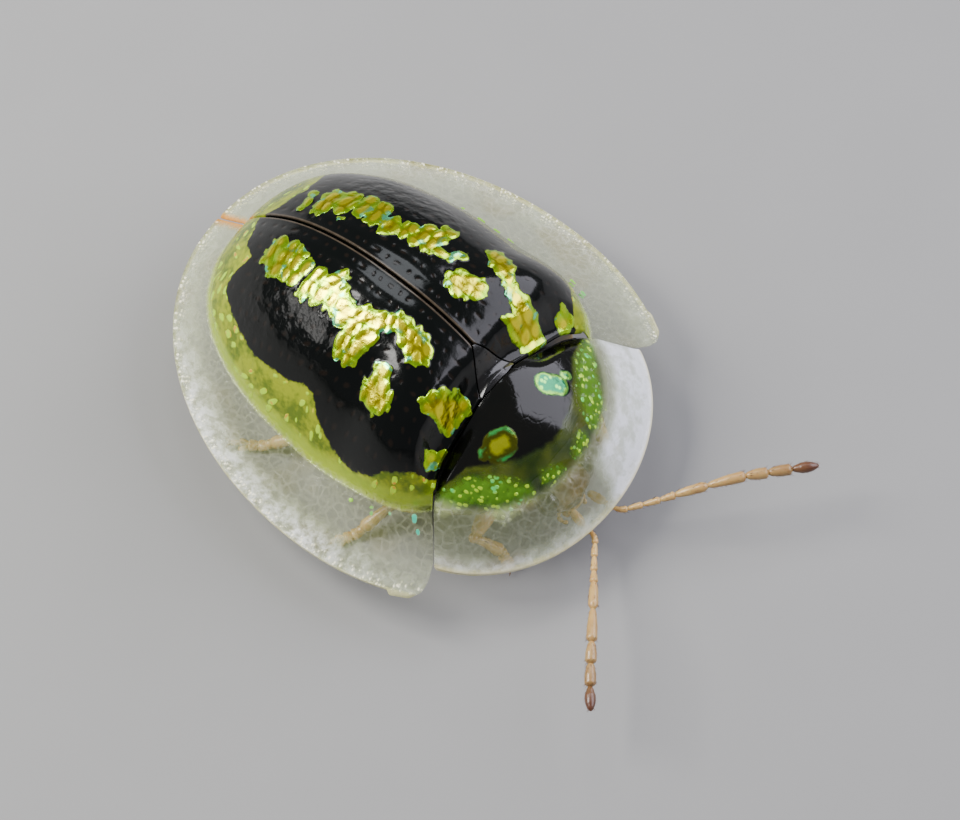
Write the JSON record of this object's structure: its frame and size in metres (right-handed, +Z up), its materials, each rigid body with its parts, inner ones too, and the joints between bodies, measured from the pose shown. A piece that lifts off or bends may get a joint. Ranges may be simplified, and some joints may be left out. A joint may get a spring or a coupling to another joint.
{
  "type": "tortoise beetle",
  "caption": "Life-size tortoise beetle standing still: domed black shell with metallic gold-green bands, a clear flange all round, a shield over the head and spread feelers.",
  "frame": {"origin": "on the floor, under the centre of the whole beetle, feelers included", "axes": "+X to the beetle's left, -Y forwards, +Z up"},
  "size_m": [0.0052, 0.0076, 0.0029],
  "materials": {
    "wing_cases": "glossy, metallic gold-green bands on black, clear flange",
    "neck_shield": "glossy, black disc with green spots, clear olive flange",
    "body": "satin, dark brown",
    "eyes": "glossy, finely faceted",
    "legs": "satin, amber",
    "feelers": "satin, pale yellow at the root, brown at the tip"
  },
  "bodies": {
    "root": {"elytron_left": "wing_cases", "elytron_right": "wing_cases", "pronotum": "neck_shield", "scutellum": "body", "abdomen": "body", "thorax": "body", "prothorax": "body", "head": "body", "eye_left": "eyes", "eye_right": "eyes", "mouthparts": "legs", "leg_front_left": "legs", "leg_front_right": "legs", "leg_middle_left": "legs", "leg_middle_right": "legs", "leg_hind_left": "legs", "leg_hind_right": "legs", "antenna_left": "feelers", "antenna_right": "feelers"}
  },
  "joints": []
}
